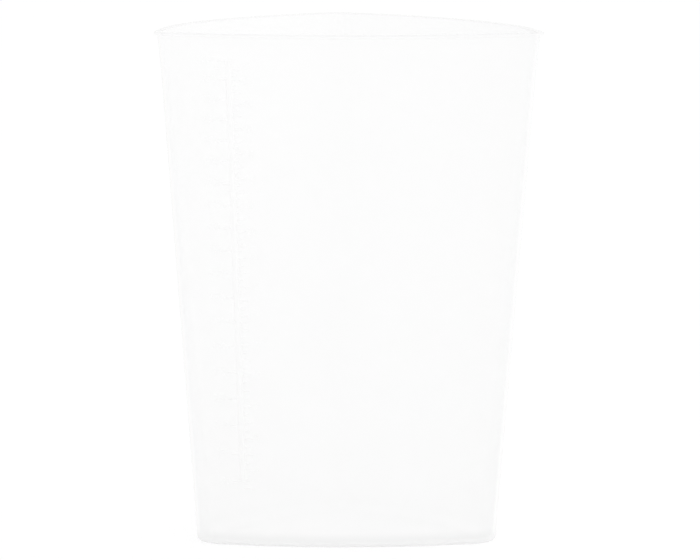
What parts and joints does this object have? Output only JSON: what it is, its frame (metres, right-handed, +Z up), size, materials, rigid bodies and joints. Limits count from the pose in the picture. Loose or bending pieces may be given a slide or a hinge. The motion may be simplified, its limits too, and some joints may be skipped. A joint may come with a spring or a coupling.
{
  "type": "resin mixing cup",
  "caption": "Tapered three-cornered mixing cup of thin translucent plastic, with a rim bead that runs out to pouring corners and a raised millilitre and fluid-ounce scale.",
  "frame": {"origin": "on the cup's axis, in the plane of the foot that it stands on", "axes": "+Z up through the mouth; the flank with the scale faces -Y, and the third pouring corner points to +Y"},
  "size_m": [0.117, 0.1158, 0.1555],
  "materials": {
    "natural_polypropylene": "natural translucent polypropylene, thin moulded wall with a soft satin sheen"
  },
  "bodies": {
    "root": {"side_wall": "natural_polypropylene", "floor": "natural_polypropylene", "rim_bead": "natural_polypropylene", "graduation_rule": "natural_polypropylene", "millilitre_ticks": "natural_polypropylene", "fluid_ounce_ticks": "natural_polypropylene"}
  },
  "joints": []
}
